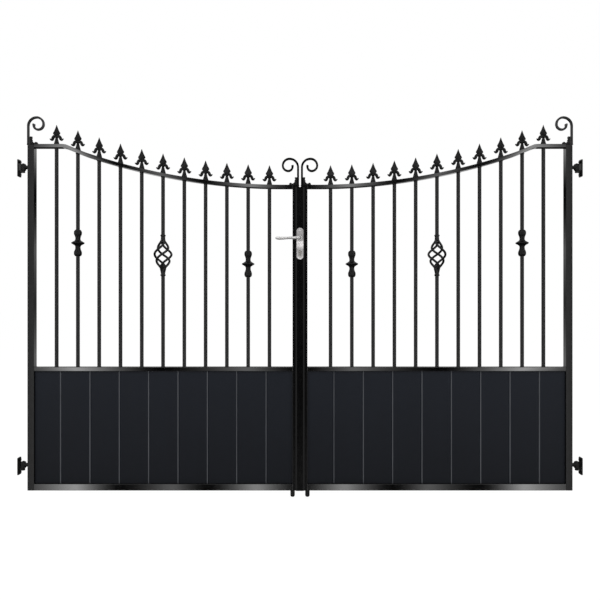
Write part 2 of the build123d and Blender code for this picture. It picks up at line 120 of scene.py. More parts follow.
def smooth_step(share):
    """0 below 0, 1 above 1, and an even S between them."""
    share = min(max(share, 0.0), 1.0)
    return share * share * (3.0 - 2.0 * share)


# Mesh builders


class Form:
    """A mesh in the drawing frame, built up from tubes, lathed and lofted rings."""

    def __init__(self, side=1):
        self.mesh = bmesh.new()
        self.side = side

    def ring(self, points):
        return [self.mesh.verts.new(at(self.side * p[0], p[1], p[2])) for p in points]

    def skin(self, rings, caps=True):
        made = [self.ring(r) for r in rings]
        count = len(made[0])
        for low, high in zip(made, made[1:]):
            for i in range(count):
                j = (i + 1) % count
                self.mesh.faces.new((low[i], low[j], high[j], high[i]))
        if caps:
            self.mesh.faces.new(list(reversed(made[0])))
            self.mesh.faces.new(made[-1])

    def lathe(self, centre, profile, sides, axis="Z", caps=True):
        """Turns (radius, height) pairs about an axis through a point."""
        rings = []
        for radius, height in profile:
            ring = []
            for i in range(sides):
                a = 2 * math.pi * i / sides
                c, s = radius * math.cos(a), radius * math.sin(a)
                if axis == "Z":
                    ring.append((centre[0] + c, centre[1] + s, centre[2] + height))
                elif axis == "Y":
                    ring.append((centre[0] + c, centre[1] + height, centre[2] - s))
                else:
                    ring.append((centre[0] + height, centre[1] + c, centre[2] + s))
            rings.append(ring)
        self.skin(rings, caps)

    def tube(self, path, radius, sides, flat=1.0, up=(0.0, 1.0, 0.0)):
        """A tube along points. radius is one number or one a point, flat widens it along up."""
        points = [Vector(p) for p in path]
        rings = []
        across = Vector(up)
        for i, p in enumerate(points):
            ahead = points[min(i + 1, len(points) - 1)] - points[max(i - 1, 0)]
            ahead.normalize()
            across = (across - ahead * across.dot(ahead)).normalized()
            other = ahead.cross(across)
            r = radius[i] if isinstance(radius, (list, tuple)) else radius
            ring = []
            for k in range(sides):
                a = 2 * math.pi * k / sides
                ring.append(p + across * (r * flat * math.cos(a)) + other * (r * math.sin(a)))
            rings.append(ring)
        self.skin(rings)

    def plate(self, outline, front, back):
        """A flat shape drawn in X and Z, between two depths."""
        self.skin([[(x, front, z) for x, z in outline], [(x, back, z) for x, z in outline]])

    def finish(self, name, material, body, replaces=(), slot="black_paint", smooth=38.0, bevel=0.0):
        """Makes the object; edges sharper than smooth, in degrees, stay sharp."""
        bmesh.ops.recalc_face_normals(self.mesh, faces=self.mesh.faces)
        data = bpy.data.meshes.new(name)
        self.mesh.to_mesh(data)
        self.mesh.free()
        obj = bpy.data.objects.new(name, data)
        bpy.context.scene.collection.objects.link(obj)
        data.materials.append(material)
        data.shade_smooth()
        data.set_sharp_from_angle(angle=math.radians(smooth))
        if bevel:
            add_bevel(obj, bevel)
        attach(obj, body)
        if replaces:
            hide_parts(*replaces)


def both_sides(name, build, material, replaced=None, body=None, **look):
    """Builds a piece for each side, as its mirror image on the left, and hangs it on its body."""
    for side, sign in SIDES:
        form = Form(sign)
        build(form)
        stand_ins = [side + "_" + replaced] if replaced else ()
        form.finish(side + "_" + name, material, body or side + "_leaf", stand_ins, **look)


def add_bevel(obj, width):
    """Rounds the sharp edges by a width in millimetres, and keeps the faces' shading flat."""
    bevel = obj.modifiers.new("edges", "BEVEL")
    bevel.width = width / 1000.0
    bevel.segments = 2
    bevel.limit_method = "ANGLE"
    bevel.angle_limit = math.radians(32)
    shading = obj.modifiers.new("shading", "WEIGHTED_NORMAL")
    shading.mode = "FACE_AREA"
    shading.weight = 100


def catmull_rom(p, q, r, s, t):
    """A value on the curve from q to r, with p before them and s after, a share t of the way."""
    linear = (r - p) * t
    square = (2 * p - 5 * q + 4 * r - s) * t * t
    cube = (3 * q - p - 3 * r + s) * t * t * t
    return 0.5 * (2 * q + linear + square + cube)


def smooth_curve(points, steps):
    """Points on a smooth curve through a few given ones, which hold any number of values."""
    out = []
    last = len(points) - 1
    for i in range(last):
        near = (points[max(i - 1, 0)], points[i], points[i + 1], points[min(i + 2, last)])
        for k in range(steps):
            out.append(tuple(catmull_rom(p, q, r, s, k / steps) for p, q, r, s in zip(*near)))
    out.append(tuple(points[last]))
    return out


WELD_RADIUS = 1.5


def weld_run(form, start, end, steps, ripple, turns, up):
    """A rippled bead of weld along a straight line; turns is the ripple's angle for each step."""
    path, radii = [], []
    for i in range(steps + 1):
        path.append([a + (b - a) * i / steps for a, b in zip(start, end)])
        radii.append(WELD_RADIUS + ripple * math.sin(turns * i))
    form.tube(path, radii, 8, up=up)


# Shader nodes


def feed(tree, socket, value):
    """Links an input to another node's output, or sets it to a number or a colour."""
    if isinstance(value, bpy.types.NodeSocket):
        tree.links.new(value, socket)
    else:
        socket.default_value = value


def new_material(name):
    material = bpy.data.materials.new(name)
    material.use_nodes = True
    tree = material.node_tree
    tree.nodes.clear()
    output = tree.nodes.new("ShaderNodeOutputMaterial")
    shader = tree.nodes.new("ShaderNodeBsdfPrincipled")
    tree.links.new(shader.outputs[0], output.inputs[0])
    return material, tree, shader


def split(tree, vector):
    """The X, Y and Z of a vector, each an output of its own."""
    parts = tree.nodes.new("ShaderNodeSeparateXYZ")
    tree.links.new(vector, parts.inputs[0])
    return parts.outputs


def place_on_piece(tree):
    coordinates = tree.nodes.new("ShaderNodeTexCoord")
    return split(tree, coordinates.outputs["Object"])


def noise(tree, scale, detail, stretch=(1.0, 1.0, 1.0)):
    coordinates = tree.nodes.new("ShaderNodeTexCoord")
    mapping = tree.nodes.new("ShaderNodeMapping")
    mapping.inputs["Scale"].default_value = stretch
    tree.links.new(coordinates.outputs["Object"], mapping.inputs["Vector"])
    texture = tree.nodes.new("ShaderNodeTexNoise")
    texture.inputs["Scale"].default_value = scale
    texture.inputs["Detail"].default_value = detail
    tree.links.new(mapping.outputs[0], texture.inputs["Vector"])
    return texture.outputs["Fac"]


def tone(colour):
    if isinstance(colour, (int, float)):
        return (colour, colour, colour, 1.0)
    return (*colour, 1.0)


def ramp(tree, value, stops):
    made = tree.nodes.new("ShaderNodeValToRGB")
    elements = made.color_ramp.elements
    while len(elements) > 1:
        elements.remove(elements[-1])
    elements[0].position, elements[0].color = stops[0][0], tone(stops[0][1])
    for place, colour in stops[1:]:
        elements.new(place).color = tone(colour)
    tree.links.new(value, made.inputs[0])
    return made.outputs[0]


def math_node(tree, operation, *values):
    made = tree.nodes.new("ShaderNodeMath")
    made.operation = operation
    for socket, value in zip(made.inputs, values):
        feed(tree, socket, value)
    return made.outputs[0]


def share_between(tree, value, start, end, least=0.0):
    """From least at start to 1 at end, and level beyond them."""
    made = tree.nodes.new("ShaderNodeMapRange")
    made.inputs["From Min"].default_value = start
    made.inputs["From Max"].default_value = end
    made.inputs["To Min"].default_value = least
    tree.links.new(value, made.inputs["Value"])
    return made.outputs[0]


MIX_SOCKETS = {"FLOAT": (2, 3, 0), "RGBA": (6, 7, 2)}


def mix(tree, share, first, second, kind="RGBA", blend="MIX"):
    made = tree.nodes.new("ShaderNodeMix")
    made.data_type = kind
    made.blend_type = blend
    a, b, out = MIX_SOCKETS[kind]
    feed(tree, made.inputs[0], share)
    feed(tree, made.inputs[a], first)
    feed(tree, made.inputs[b], second)
    return made.outputs[out]


def mix_shaders(tree, share, first, second):
    made = tree.nodes.new("ShaderNodeMixShader")
    for socket, value in zip(made.inputs, (share, first, second)):
        tree.links.new(value, socket)
    return made.outputs[0]


def bump(tree, height, strength, distance, below=None):
    made = tree.nodes.new("ShaderNodeBump")
    made.inputs["Strength"].default_value = strength
    made.inputs["Distance"].default_value = distance
    tree.links.new(height, made.inputs["Height"])
    if below is not None:
        tree.links.new(below, made.inputs["Normal"])
    return made.outputs[0]


# Materials


def paint(name, colour, worn, roughness, spread, gloss, wave=0.0, ior=1.45):
    """Paint over iron: orange peel, slow changes of tone and sheen, and a forged wave."""
    material, tree, shader = new_material(name)
    base = ramp(tree, noise(tree, 7.0, 4.0), [(0.3, colour), (0.7, worn)])
    tree.links.new(base, shader.inputs["Base Color"])
    low, high = roughness - spread, roughness + spread
    rough = ramp(tree, noise(tree, 45.0, 5.0), [(0.25, low), (0.75, high)])
    tree.links.new(rough, shader.inputs["Roughness"])
    normal = bump(tree, noise(tree, 420.0, 2.0), 0.012, 0.0003)
    if wave:
        normal = bump(tree, noise(tree, 60.0, 2.0), wave, 0.0012, normal)
    tree.links.new(normal, shader.inputs["Normal"])
    shader.inputs["IOR"].default_value = ior
    shader.inputs["Specular IOR Level"].default_value = gloss
    return material


# The handle plate's tone from its foot to its top, as painted reflection and shade: brightest round
# the cylinder, darker round and above the spindle
PLATE_PAINTED_LIGHT = [
    (0.0, 0.85),
    (0.05, 0.8),
    (0.09, 0.6),
    (0.16, 0.45),
    (0.27, 0.5),
    (0.31, 0.4),
    (0.385, 0.75),
    (0.44, 1.0),
    (0.56, 1.0),
    (0.6, 0.6),
    (0.64, 0.38),
    (0.75, 0.36),
    (0.9, 0.42),
    (1.0, 0.5),
]
PLATE_BELOW, PLATE_ABOVE = 103, 51
BRUSHED_UPRIGHT = (1.0, 1.0, 0.08)


def steel(name, colour, roughness, stretch, metallic=1.0, painted_light=None):
    """Satin steel, brushed one way, with a fine grain in its sheen and its surface."""
    material, tree, shader = new_material(name)
    grain = noise(tree, 900.0, 2.0, stretch)
    cloud = noise(tree, 30.0, 3.0)
    darker = tuple(c * 0.82 for c in colour)
    base = ramp(tree, cloud, [(0.3, darker), (0.7, colour)])
    # Painted reflection and shade: the colour is multiplied by lighter and darker bands up the
    # plate
    if painted_light:
        foot = at(0, 0, HANDLE_HEIGHT - PLATE_BELOW).z
        top = at(0, 0, HANDLE_HEIGHT + PLATE_ABOVE).z
        share = share_between(tree, place_on_piece(tree)["Z"], foot, top)
        base = mix(tree, 1.0, base, ramp(tree, share, painted_light), blend="MULTIPLY")
    tree.links.new(base, shader.inputs["Base Color"])
    rough = ramp(tree, grain, [(0.25, roughness - 0.03), (0.75, roughness + 0.03)])
    tree.links.new(rough, shader.inputs["Roughness"])
    shader.inputs["Metallic"].default_value = metallic
    tree.links.new(bump(tree, grain, 0.006, 0.0002), shader.inputs["Normal"])
    return material


black_gloss = paint(
    "black_gloss", (0.0014, 0.0014, 0.0015), (0.002, 0.002, 0.0021), 0.055, 0.012, 0.5, ior=1.8
)
black_frame = paint(
    "black_frame", (0.0016, 0.0016, 0.0017), (0.0024, 0.0024, 0.0025), 0.08, 0.015, 0.5
)
black_bars = paint(
    "black_bars", (0.0068, 0.0068, 0.007), (0.0084, 0.0084, 0.0086), 0.24, 0.03, 0.42
)
black_forged = paint(
    "black_forged", (0.0025, 0.0025, 0.0026), (0.0045, 0.0045, 0.0047), 0.3, 0.07, 0.3, wave=0.2
)
black_hardware = paint(
    "black_hardware", (0.003, 0.003, 0.003), (0.005, 0.005, 0.005), 0.28, 0.07, 0.3
)
satin_steel = steel("satin_steel", (0.84, 0.83, 0.82), 0.4, BRUSHED_UPRIGHT, metallic=0.75)
plate_steel = steel("plate_steel", (0.98, 0.95, 0.95), 0.45, BRUSHED_UPRIGHT, 0.2, PLATE_PAINTED_LIGHT)
nickel = steel("cylinder_nickel", (0.5, 0.48, 0.45), 0.26, (1.0, 1.0, 1.0))


# Tone of the painted highlight along one facet of each board joint
PAINTED_ARRIS_HIGHLIGHT = (0.085, 0.09, 0.1)


def board_paint():
    """Blue-black paint on the boards, with a painted top light that makes it a little lighter and
    bluer towards the top, and a painted highlight along one facet of each joint.
    """
    material, tree, shader = new_material("board_paint")
    place = place_on_piece(tree)
    streaks = noise(tree, 26.0, 4.0, (1.0, 1.0, 0.06))
    fine = noise(tree, 380.0, 2.0)
    cloud = noise(tree, 5.0, 3.0)
    # Painted top light: the tone rises with height up the panel, on top of random streaks and cloud
    height = share_between(tree, place["Z"], at(0, 0, PANEL_FOOT).z, at(0, 0, PANEL_TOP).z)
    uneven_and_top_light = math_node(tree, "MULTIPLY_ADD", streaks, 0.35, height)
    uneven_and_top_light = math_node(tree, "MULTIPLY_ADD", cloud, 0.35, uneven_and_top_light)
    uneven_and_top_light = math_node(tree, "MULTIPLY", uneven_and_top_light, 0.65)
    stops = [(0.25, (0.0068, 0.0079, 0.0109)), (1.0, (0.0113, 0.0135, 0.0191))]
    field = ramp(tree, uneven_and_top_light, stops)
    geometry = tree.nodes.new("ShaderNodeNewGeometry")
    facing = split(tree, geometry.outputs["True Normal"])
    # Painted highlight: the joint's facet that faces the gate's middle is painted lighter, where
    # light catches it
    on_left = math_node(tree, "LESS_THAN", place["X"], at(0, 0, 0).x)
    towards = math_node(tree, "MULTIPLY_ADD", on_left, 2.0, -1.0)
    inward = math_node(tree, "MULTIPLY", facing["X"], towards)
    painted_highlight = math_node(tree, "GREATER_THAN", inward, 0.3)
    painted_highlight = math_node(tree, "MULTIPLY", painted_highlight, math_node(tree, "MULTIPLY_ADD", cloud, 0.7, 0.55))
    base = mix(tree, painted_highlight, field, tone(PAINTED_ARRIS_HIGHLIGHT))
    tree.links.new(base, shader.inputs["Base Color"])
    rough = ramp(tree, streaks, [(0.25, 0.38), (0.75, 0.5)])
    groove = math_node(tree, "GREATER_THAN", math_node(tree, "ABSOLUTE", facing["X"]), 0.3)
    smoother = math_node(tree, "MULTIPLY_ADD", groove, -0.7, 1.0)
    rough = math_node(tree, "MULTIPLY", rough, smoother)
    tree.links.new(rough, shader.inputs["Roughness"])
    normal = bump(tree, fine, 0.1, 0.0003)
    tree.links.new(bump(tree, streaks, 0.08, 0.001, normal), shader.inputs["Normal"])
    shader.inputs["IOR"].default_value = 1.45
    shader.inputs["Specular IOR Level"].default_value = 0.16
    return material


boards = board_paint()


def dress(name, material, bevel=0.0):
    """A CAD node that keeps its shape gets its material, and softened edges where it is sharp."""
    obj = nodes[name]
    obj.data.materials.clear()
    obj.data.materials.append(material)
    if bevel:
        weld = obj.modifiers.new("weld", "WELD")
        weld.merge_threshold = 0.00002
        add_bevel(obj, bevel)


SECTION_BEVEL = 1.6

for side, _ in SIDES:
    dress(side + "_hinge_stile", black_frame, SECTION_BEVEL)
    dress(side + "_meeting_stile", black_frame, SECTION_BEVEL)
    dress(side + "_bottom_rail", black_gloss, SECTION_BEVEL)
    dress(side + "_mid_rail", black_gloss, SECTION_BEVEL)
    dress(side + "_boarded_panel", boards)
    dress(side + "_bars", black_bars)
    dress(side + "_hinge_eyes", black_hardware)
    dress(side + "_hooks", black_hardware)
    dress(side + "_bolt_guides", black_hardware)
    dress(side + "_drop_bolt", black_hardware)
dress("cover_strip", black_frame)
dress("handle_plate", plate_steel)
dress("lock_cylinder", nickel)


# Top rail: a flat with eased edges. The photograph shows it a little thicker than the packed
# one, and level from a little further in

FLAT_START, FLAT_END = drawn("right_top_rail", X)
FLAT_FRONT, FLAT_BACK = drawn("right_top_rail", Y)
FLAT_GROWTH = 2.5
LIFT_START, LIFT_END, SHOULDER_LIFT = 1040.0, 1150.0, 4.7


def flat_edge(below, steps=64):
    """Points in X and Z along the rail's curve, set off below it by a distance."""
    reach = RAIL_RADIUS + below
    level = RAIL_RADIUS - RAIL_DROP + below
    end = math.sqrt(reach * reach - level * level)
    points = [(FLAT_START, LOW_TOP - below)]
    for i in range(steps + 1):
        out = end * i / steps
        x = RAIL_FLAT_END + out
        z = LOW_TOP + RAIL_RADIUS - math.sqrt(reach * reach - out * out)
        z += SHOULDER_LIFT * smooth_step((x - LIFT_START) / (LIFT_END - LIFT_START))
        points.append((x, min(z, HIGH_TOP - below)))
    return points + [(FLAT_END, HIGH_TOP - below)]


def top_rail(form):
    rings = []
    for (x, z), (low_x, low_z) in zip(flat_edge(-FLAT_GROWTH), flat_edge(RAIL_DEPTH + FLAT_GROWTH)):
        upper = [(x, FLAT_FRONT, z), (x, FLAT_BACK, z)]
        rings.append(upper + [(low_x, FLAT_BACK, low_z), (low_x, FLAT_FRONT, low_z)])
    form.skin(rings)


both_sides("top_rail_flat", top_rail, black_gloss, "top_rail", smooth=12, bevel=1.0)


# Finials: a ribbed spear on a collared foot, with a curled leaf at each side. Heights are from
# the rail's upper face

# Radius and height; the rings below FOOT_SEAT lean with the rail
FINIAL_FOOT = [
    (17.5, -8.0),
    (15.4, -1.0),
    (14.8, 2.0),
    (12.6, 9.0),
    (10.2, 17.0),
    (8.2, 25.0),
    (6.8, 32.0),
    (6.0, 37.0),
]
FOOT_SEAT = 3
FOOT_FLATTENED = 0.82
FOOT_SIDES = 20
FINIAL_NECK = [(6.2, 35.0), (8.8, 37.0), (9.8, 39.6), (8.8, 42.2), (6.2, 44.0)]
# Height, half width and half depth
SPEAR = [
    (41.0, 6.0, 5.0),
    (45.0, 8.0, 5.8),
    (49.0, 12.4, 7.4),
    (53.0, 16.2, 8.8),
    (56.5, 18.0, 9.6),
    (59.5, 18.2, 9.8),
    (63.0, 16.6, 9.2),
    (69.0, 12.9, 7.6),
    (78.0, 8.8, 5.6),
    (88.0, 4.9, 3.5),
    (95.0, 2.4, 1.9),
    (100.0, 0.5, 0.5),
]
# The spear's cross-section: ribs at the sides, front and back, and hollows between them
SPEAR_SECTION = [
    (1.0, 0.0),
    (0.42, 0.5),
    (0.0, 1.0),
    (-0.42, 0.5),
    (-1.0, 0.0),
    (-0.42, -0.5),
    (0.0, -1.0),
    (0.42, -0.5),
]
# Distance from the spear, height and radius
CURLED_LEAF = [
    (2.0, 41.0, 5.2),
    (8.0, 43.6, 6.2),
    (14.0, 42.0, 7.2),
    (18.0, 36.0, 7.4),
    (19.8, 30.0, 7.0),
    (23.5, 26.6, 6.0),
    (29.0, 28.6, 4.4),
    (34.0, 32.4, 1.2),
]


def finial(form, x):
    z = rail_top(x)
    rings = []
    for radius, height in FINIAL_FOOT:
        lean = rail_slope(x) if height < FOOT_SEAT else 0.0
        ring = []
        for i in range(FOOT_SIDES):
            a = 2 * math.pi * i / FOOT_SIDES
            c, s = radius * math.cos(a), radius * math.sin(a) * FOOT_FLATTENED
            ring.append((x + c, MIDDLE + s, z + height + lean * c))
        rings.append(ring)
    form.skin(rings)
    form.lathe((x, MIDDLE, z), FINIAL_NECK, 20)
    rings = []
    for height, wide, deep in SPEAR:
        rings.append([(x + wide * u, MIDDLE + deep * v, z + height) for u, v in SPEAR_SECTION])
    form.skin(rings)
    line = smooth_curve(CURLED_LEAF, 5)
    for turn in (-1, 1):
        path = [(x + turn * u, MIDDLE, z + v) for u, v, _ in line]
        form.tube(path, [r for _, _, r in line], 10, 1.15)


def finials(form):
    for x in BARS:
        finial(form, x)


both_sides("finials_cast", finials, black_forged, "finials", smooth=24.0)


# Collars: turned knuckles on the second and tenth bars

# Radius and height below the middle; the upper half mirrors it
COLLAR_HALF = [
    (BAR_RADIUS + 0.3, -64.5),
    (12.8, -64.5),
    (14.2, -63.4),
    (15.0, -61.4),
    (17.0, -59.0),
    (18.3, -55.6),
    (18.6, -51.0),
    (18.6, -46.5),
    (18.0, -42.5),
    (16.4, -38.5),
    (14.5, -34.0),
    (12.9, -29.0),
    (12.2, -24.0),
    (12.1, -19.5),
    (12.9, -15.5),
    (15.6, -11.5),
    (21.4, -7.8),
    (26.2, -5.0),
    (29.4, -3.0),
    (30.8, -1.4),
]
COLLAR = COLLAR_HALF + [(r, -h) for r, h in reversed(COLLAR_HALF)]
COLLAR_PLACES = ((BARS[1], 1107.5), (BARS[9], 1210.5))


def collars(form):
    for x, z in COLLAR_PLACES:
        form.lathe((x, MIDDLE, z), COLLAR, 48)


both_sides("collars_turned", collars, black_forged, "collars")


# Baskets: four wires that swell out and make one turn, between beaded ends

BASKET_X = BARS[5]
BASKET_Z = 1150.0
BASKET_HALF = 90.0
BASKET_WIRES = 4
BASKET_WIRE_RADIUS = 5.6
BASKET_BUNDLE_RADIUS = 5.1
BASKET_SWELL = 35.45
BASKET_SWELL_POWER = 1.9
BAR_INTO_RAIL = 1.5
# Radius and height past the wires' ends, from the core between them to the bar
BASKET_CORE = [(4.6, -19.0), (7.0, -16.0)]
FORGED_CORE = [(2.5, -46.0), (6.0, -38.0), (7.6, -28.0)]
BASKET_BEAD = [
    (9.2, -10.0),
    (9.7, -4.0),
    (9.8, 1.5),
    (11.4, 3.2),
    (13.0, 5.4),
    (13.1, 8.4),
    (11.8, 10.6),
    (10.0, 11.8),
    (BAR_RADIUS + 0.1, 12.4),
    (BAR_RADIUS, 15.0),
]


def basket_wire(start, steps=72):
    points = []
    for i in range(steps + 1):
        t = i / steps
        swell = max(math.sin(math.pi * t), 0.0) ** BASKET_SWELL_POWER
        radius = BASKET_BUNDLE_RADIUS + BASKET_SWELL * swell
        a = start - 2 * math.pi * t
        z = BASKET_Z + (t - 0.5) * BASKET_HALF * 2
        points.append((BASKET_X + radius * math.cos(a), MIDDLE + radius * math.sin(a), z))
    return points


def basket(form):
    for k in range(BASKET_WIRES):
        form.tube(basket_wire(2 * math.pi / BASKET_WIRES * k), BASKET_WIRE_RADIUS, 14)
    under = rail_top(BASKET_X) - RAIL_DEPTH + BAR_INTO_RAIL
    # At the lower end the wires' roots are forged into one
    for way, far, core in ((1, under, BASKET_CORE), (-1, MID_RAIL_TOP, FORGED_CORE)):
        rings = [(r, way * (BASKET_HALF + h)) for r, h in core + BASKET_BEAD]
        rings.append((BAR_RADIUS, way * abs(far - BASKET_Z)))
        form.lathe((BASKET_X, MIDDLE, BASKET_Z), rings, 32)


both_sides("basket_twisted", basket, black_bars, "basket_bar")


# Scrolls: square bar that stands on a stile and curls over in tightening quarter turns

SCROLL_HALF = 5.0
SCROLL_DEPTH = 6.0
SCROLL_EASE = 0.8
SCROLL_RADIUS = 41.4
SCROLL_TIGHTENING = 0.8
QUARTER_STEPS = 14
TIP_STEPS = 5
TIP_SWELL = 0.9
# Outer face, foot, the way it curls, and how high it rises before it curls
SCROLL_PLACES = (
    (HINGE_OUTER + 2.5, HIGH_TOP, -1, 91.5),
    (MEETING_OUTER, LOW_TOP, 1, 88.5),
)


def quarter_turn(cx, cz, way, radius, turn, steps):
    points = []
    for k in range(steps):
        a = math.pi - (turn + math.pi / 2 * k / QUARTER_STEPS)
        points.append((cx + way * radius * math.cos(a), SCROLL_DEPTH, cz + radius * math.sin(a)))
    return points


def scroll_path(outer_x, base, way, height):
    x = outer_x + way * SCROLL_HALF
    points = [(x, SCROLL_DEPTH, base - 1.0 + (height + 1.0) * i / 6) for i in range(6)]
    radius = SCROLL_RADIUS
    cx, cz = x + way * radius, base + height
    turn = 0.0
    for _ in range(4):
        points += quarter_turn(cx, cz, way, radius, turn, QUARTER_STEPS)
        smaller = radius * SCROLL_TIGHTENING
        away = math.pi - (turn + math.pi / 2)
        cx += way * (radius - smaller) * math.cos(away)
        cz += (radius - smaller) * math.sin(away)
        turn += math.pi / 2
        radius = smaller
    return points + quarter_turn(cx, cz, way, radius, turn, TIP_STEPS)


def scroll_bar(form, path):
    """Square bar with eased edges, a little swollen at its tip."""
    rings = []
    depth = Vector((0.0, 1.0, 0.0))
    for i, p in enumerate(path):
        ahead = (path[min(i + 1, len(path) - 1)] - path[max(i - 1, 0)]).normalized()
        across = Vector((ahead.z, 0.0, -ahead.x))
        half = SCROLL_HALF
        if i > len(path) - TIP_STEPS - 1:
            into_tip = i - len(path) + TIP_STEPS + 1
            half = SCROLL_HALF + TIP_SWELL * math.sin(math.pi * into_tip / TIP_STEPS)
        ring = []
        for u, v in ((1, 1), (-1, 1), (-1, -1), (1, -1)):
            corner = p + across * (half * u) + depth * (half * v)
            along_u = across * (-SCROLL_EASE * u)
            along_v = depth * (-SCROLL_EASE * v)
            first, second = (along_v, along_u) if u * v > 0 else (along_u, along_v)
            ring.append(corner + first)
            ring.append(corner + second)
        rings.append(ring)
    form.skin(rings)


def scroll_welds(form, stem, base):
    """A bead of weld along each side of the bar's foot."""
    xs = (stem - SCROLL_HALF, stem + SCROLL_HALF)
    ys = (SCROLL_DEPTH - SCROLL_HALF, SCROLL_DEPTH + SCROLL_HALF)
    runs = [((xs[0], y, base), (xs[1], y, base)) for y in ys]
    runs += [((x, ys[0], base), (x, ys[1], base)) for x in xs]
    for start, end in runs:
        weld_run(form, start, end, 6, 0.3, 2.4, (0.0, 0.0, 1.0))


def scrolls(form):
    for outer, base, way, height in SCROLL_PLACES:
        path = [Vector(p) for p in scroll_path(outer, base, way, height)]
        scroll_bar(form, path)
        scroll_welds(form, path[0].x, base)


both_sides("scrolls_bent", scrolls, black_frame, "scrolls", smooth=30)


# Corner leaves: cast, in the corner between a scroll and the rail, with a rib up each lobe

# Distance from the scroll's bar and height above the rail
LEAF_OUTLINE = [
    (0.0, -0.5),
    (39.0, -0.5),
    (39.2, 5.0),
    (37.6, 9.5),
    (33.6, 12.6),
    (30.4, 9.2),
    (26.0, 7.6),
    (20.0, 9.2),
    (14.8, 12.6),
    (12.0, 18.0),
    (12.6, 23.4),
    (9.2, 26.4),
    (8.8, 30.6),
    (10.8, 35.2),
    (11.2, 39.0),
    (0.0, 39.0),
]
LEAF_RIBS = (
    [(4.0, 4.0), (14.0, 5.0), (24.0, 4.4), (33.0, 6.0), (36.0, 8.5)],
    [(4.0, 4.0), (6.0, 14.0), (6.0, 24.0), (6.0, 32.0), (7.4, 37.0)],
)


def corner_leaf(form, stem, base, way):
    shape = [(stem + way * x, base + z) for x, z in LEAF_OUTLINE]
    inner = [(stem + way * (x * 0.8 + 1.5), base + z * 0.8 + 1.5) for x, z in LEAF_OUTLINE]
    rings = []
    for depth, outline in ((-0.6, inner), (1.4, shape), (10.6, shape), (12.6, inner)):
        rings.append([(x, depth, z) for x, z in outline])
    form.skin(rings)
    for lobe in LEAF_RIBS:
        line = smooth_curve(lobe, 4)
        radii = [1.9 - 0.9 * i / (len(line) - 1) for i in range(len(line))]
        for depth in (-0.4, 12.4):
            path = [(stem + way * x, depth, base + z) for x, z in line]
            form.tube(path, radii, 8)


def corner_leaves(form):
    corner_leaf(form, HINGE_OUTER - 2 * SCROLL_HALF, HIGH_TOP, -1)
    corner_leaf(form, MEETING_OUTER + 2 * SCROLL_HALF, LOW_TOP, 1)


both_sides("corner_leaves_cast", corner_leaves, black_forged, "corner_leaves", smooth=30)


# Welds where the bars and rails meet the frame

WELD_FRONT, WELD_BACK = LEAF_FRONT + 2.0, LEAF_BACK - 2.0
BEAD_SINK = 0.2


def bead_ring(form, x, z, up):
    """A ring of weld round a bar, on the rail below it or, with up = -1, above it."""
    heights = (0.0, 0.0, 0.9, 1.9, 2.6)
    proud = (-0.4, 2.4, 2.1, 1.0, -0.4)
    profile = [(BAR_RADIUS + r, h * up) for r, h in zip(proud, heights)]
    if up < 0:
        profile = list(reversed(profile))
    form.lathe((x, MIDDLE, z), profile, 18)


def weld_beads(form):
    for x in BARS:
        thickness = (RAIL_DEPTH + FLAT_GROWTH) * math.hypot(1.0, rail_slope(x))
        bead_ring(form, x, MID_RAIL_TOP - BEAD_SINK, 1)
        bead_ring(form, x, rail_top(x) - thickness + BEAD_SINK, -1)
    for x in (HINGE_INNER, MEETING_INNER):
        for z in (MID_RAIL_FOOT, MID_RAIL_TOP, BOTTOM_RAIL_TOP):
            start, end = (x, WELD_FRONT, z), (x, WELD_BACK, z)
            weld_run(form, start, end, 10, 0.35, 2.6, (1.0, 0.0, 0.0))


both_sides("weld_beads", weld_beads, black_bars)


# Coach screws in the hook plates: a round washer and a hexagon head, turned a little each

HOOK_PLATE_THICKNESS = 5.0
HOOK_PLATE_HEIGHT = 84.0
HOOK_PLATE_FACE = drawn("right_hooks", X)[1] - HOOK_PLATE_THICKNESS
LOW_HOOK_FOOT, HIGH_HOOK_TOP = drawn("right_hooks", Z)
HOOK_PLATE_FEET = (LOW_HOOK_FOOT, HIGH_HOOK_TOP - HOOK_PLATE_HEIGHT)
SCREW_SPACING = 62.0
# Radius and distance out of the plate's face, towards the leaf
WASHER = [(4.8, 0.1), (8.3, 0.1), (8.5, -0.3), (8.5, -1.2), (8.2, -1.6), (4.8, -1.6)]
SHANK = [(4.2, 4.9), (4.2, -1.4)]
HEXAGON_HEAD = [(6.9, -1.5), (7.4, -1.8), (7.4, -5.4), (6.5, -6.3), (5.4, -6.6)]


def coach_screw(form, z, turn):
    form.lathe((HOOK_PLATE_FACE, MIDDLE, z), WASHER, 32, "X")
    form.lathe((HOOK_PLATE_FACE, MIDDLE, z), SHANK, 20, "X")
    rings = []
    for radius, depth in HEXAGON_HEAD:
        ring = []
        for i in range(6):
            a = turn + math.pi / 3 * i
            y, up = radius * math.cos(a), radius * math.sin(a)
            ring.append((HOOK_PLATE_FACE + depth, MIDDLE + y, z + up))
        rings.append(ring)
    form.skin(rings)


def hook_screws(form):
    turn = 0.3
    for foot in HOOK_PLATE_FEET:
        middle = foot + HOOK_PLATE_HEIGHT / 2
        for way in (-1, 1):
            coach_screw(form, middle + way * SCREW_SPACING / 2, turn)
            turn += 0.7


both_sides("hook_screws", hook_screws, black_hardware, body="gate_hooks", smooth=30)


# Lever handle, the screws of its plate and the rim round its spindle

HUB = (0.0, PLATE_FRONT, HANDLE_HEIGHT)
# Radius and depth from the plate's face, less than 0 in front of it
LEVER_HUB = [(9.3, -0.3), (9.5, -1.2), (9.5, -9.6), (9.1, -11.2), (8.0, -12.2), (6.5, -12.8)]
SPINDLE = [(3.5, 17.7), (3.5, -2.0)]
